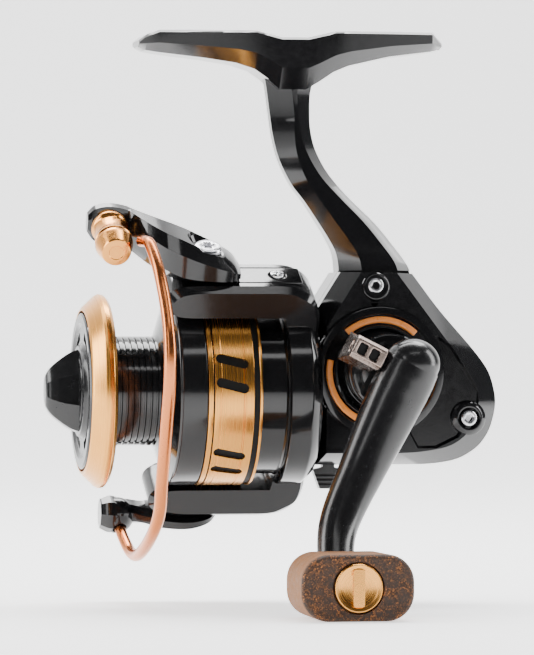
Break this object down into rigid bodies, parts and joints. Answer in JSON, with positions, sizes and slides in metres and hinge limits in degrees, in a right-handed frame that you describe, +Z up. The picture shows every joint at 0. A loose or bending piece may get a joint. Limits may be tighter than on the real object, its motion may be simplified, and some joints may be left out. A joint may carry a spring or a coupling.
{
  "type": "spinning fishing reel",
  "caption": "Small open-face spinning reel: foot and stem, gear case, folding crank with cork knob, rotor with flip-over bail and line roller, front-drag spool.",
  "frame": {"origin": "centre of the foot's length and width, level with the flat tops of the foot's two arms, where the rod's seat bears", "axes": "+Z up into the rod, -X towards the spool's drag knob and the rod's tip, -Y on the handle's side"},
  "size_m": [0.0903, 0.0877, 0.1142],
  "materials": {
    "body_black": "moulded graphite composite, high gloss black",
    "rotor_black": "moulded composite, high gloss black",
    "spool_black": "gloss black anodised and painted aluminium",
    "arm_black": "satin black painted cast handle arm",
    "knob_black": "satin black moulded plastic",
    "gold": "turned and anodised gold, fine turning lines",
    "bail_copper": "rose copper coated round wire",
    "inlay_orange": "orange inlay",
    "steel": "bright plated steel",
    "brass": "machined brass",
    "zinc": "die cast zinc and aluminium alloy",
    "knuckle_metal": "warm grey plated metal",
    "cork": "speckled dark rubberised cork",
    "felt": "greased felt",
    "nylon": "white nylon"
  },
  "bodies": {
    "frame": {"reel_body": "body_black", "side_cover": "body_black", "cover_screw_top": "steel", "cover_screw_rear": "steel", "oil_port_plug": "steel", "ring_inlay_a": "inlay_orange", "ring_inlay_b": "inlay_orange", "ring_inlay_c": "inlay_orange", "drive_bearing_near": "steel", "drive_bearing_far": "steel", "pinion_bearing": "steel", "anti_reverse_clutch": "steel", "slider_guide_rod": "steel", "oscillation_axle": "steel"},
    "crank": {"drive_gear": "zinc", "drive_shaft": "steel", "oscillation_pinion": "brass", "handle_knuckle": "knuckle_metal", "handle_screw_cap": "knob_black", "folding_pin": "steel"},
    "arm": {"handle_arm": "arm_black", "knob_spindle": "steel"},
    "knob": {"handle_knob": "cork", "knob_cap": "gold", "knob_bush": "brass"},
    "oscillator": {"oscillation_gear": "nylon"},
    "lever": {"anti_reverse_lever": "knob_black"},
    "rotor": {"rotor": "rotor_black", "rotor_nut": "brass", "pinion_gear": "brass", "clutch_sleeve": "steel", "arm_cover_upper": "rotor_black", "arm_cover_lower": "rotor_black", "arm_cover_screw": "steel", "bail_pivot_screw_upper": "steel", "bail_pivot_screw_lower": "steel", "bail_spring": "steel"},
    "bail": {"bail_arm": "rotor_black", "roller_end_cap": "gold", "bail_wire": "bail_copper", "bail_trunnion": "rotor_black", "roller_pin": "steel"},
    "roller": {"line_roller": "gold", "roller_bush": "brass"},
    "shaft": {"main_shaft": "steel", "oscillation_slider": "zinc"},
    "spool": {"spool": "spool_black", "spool_lip": "gold", "skirt_band": "gold", "click_ring": "nylon", "drag_washer_felt": "felt", "drag_washer_steel": "steel", "drag_retainer": "steel"},
    "dial": {"drag_knob": "knob_black", "drag_nut": "brass", "drag_spring": "steel"}
  },
  "joints": [
    {"name": "handle_crank", "type": "hinge", "parent": "frame", "child": "crank", "pos_m": [0.0163, 0, -0.0677], "axis": [0, 1, 0], "continuous": true},
    {"name": "rotor_spin", "type": "hinge", "parent": "frame", "child": "rotor", "pos_m": [0, 0, -0.0716], "axis": [1, 0, 0], "continuous": true},
    {"name": "oscillation_gear_spin", "type": "hinge", "parent": "frame", "child": "oscillator", "pos_m": [0.0265, 0, -0.0716], "axis": [0, 1, 0], "continuous": true},
    {"name": "handle_fold", "type": "hinge", "parent": "crank", "child": "arm", "pos_m": [0.01653, -0.0304, -0.06725], "axis": [-0.891, 0, 0.454], "range_deg": [0, 90]},
    {"name": "handle_knob_spin", "type": "hinge", "parent": "arm", "child": "knob", "pos_m": [0.00208, 0, -0.10786], "axis": [0, 1, 0], "continuous": true},
    {"name": "bail_flip", "type": "hinge", "parent": "rotor", "child": "bail", "pos_m": [-0.019, 0, -0.0716], "axis": [0, 0.4695, -0.8829], "range_deg": [0, 120]},
    {"name": "line_roller_spin", "type": "hinge", "parent": "bail", "child": "roller", "pos_m": [-0.038, -0.01606, -0.0414], "axis": [0, 0.8829, 0.4695], "continuous": true},
    {"name": "spool_stroke", "type": "slide", "parent": "frame", "child": "shaft", "axis": [1, 0, 0], "range_m": [0, 0.005]},
    {"name": "spool_drag_slip", "type": "hinge", "parent": "shaft", "child": "spool", "pos_m": [0, 0, -0.0716], "axis": [1, 0, 0], "continuous": true},
    {"name": "drag_knob_turn", "type": "hinge", "parent": "shaft", "child": "dial", "pos_m": [0, 0, -0.0716], "axis": [1, 0, 0], "range_deg": [0, 540]},
    {"name": "anti_reverse_switch", "type": "hinge", "parent": "frame", "child": "lever", "pos_m": [0.0082, 0.002, -0.0822], "axis": [1, 0, 0], "range_deg": [0, 18]}
  ],
  "couplings": [
    {"joint": "rotor_spin", "follows": "handle_crank", "ratio": -5.2},
    {"joint": "oscillation_gear_spin", "follows": "handle_crank", "ratio": -0.68421}
  ]
}
